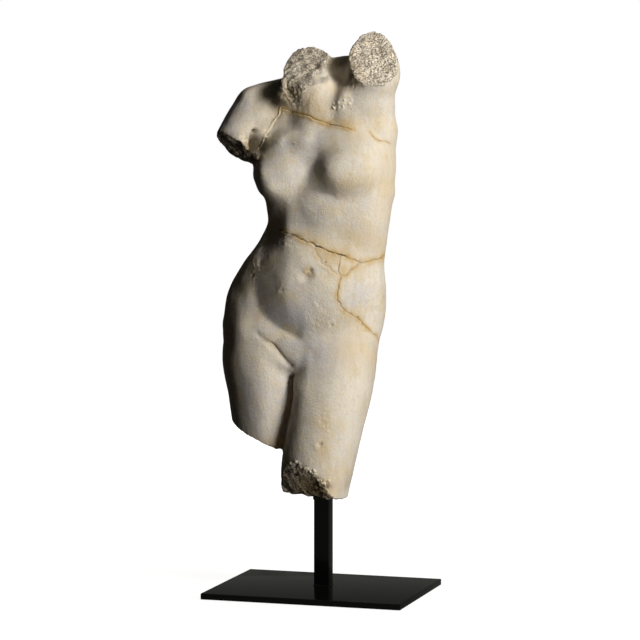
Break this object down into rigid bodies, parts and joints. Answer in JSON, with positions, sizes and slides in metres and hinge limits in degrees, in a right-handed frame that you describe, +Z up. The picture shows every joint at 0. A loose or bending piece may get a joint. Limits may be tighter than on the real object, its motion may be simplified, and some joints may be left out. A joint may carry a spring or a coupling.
{
  "type": "venus statue",
  "caption": "Broken standing torso of Venus with lost head, arms and lower legs, held up by a square black rod on a flat rectangular base plate",
  "frame": {"origin": "middle of the base plate's underside", "axes": "+Z up; the figure faces -Y, so its own left side and raised left arm are at +X"},
  "size_m": [0.2111, 0.166, 0.546],
  "materials": {
    "marble": "weathered matte, ochre stains along the repaired cracks, coarse grey-brown fractures",
    "black_metal": "gloss black",
    "black_acrylic": "polished gloss black"
  },
  "bodies": {
    "root": {"torso": "marble", "support_rod": "black_metal", "base_plate": "black_acrylic"}
  },
  "joints": []
}
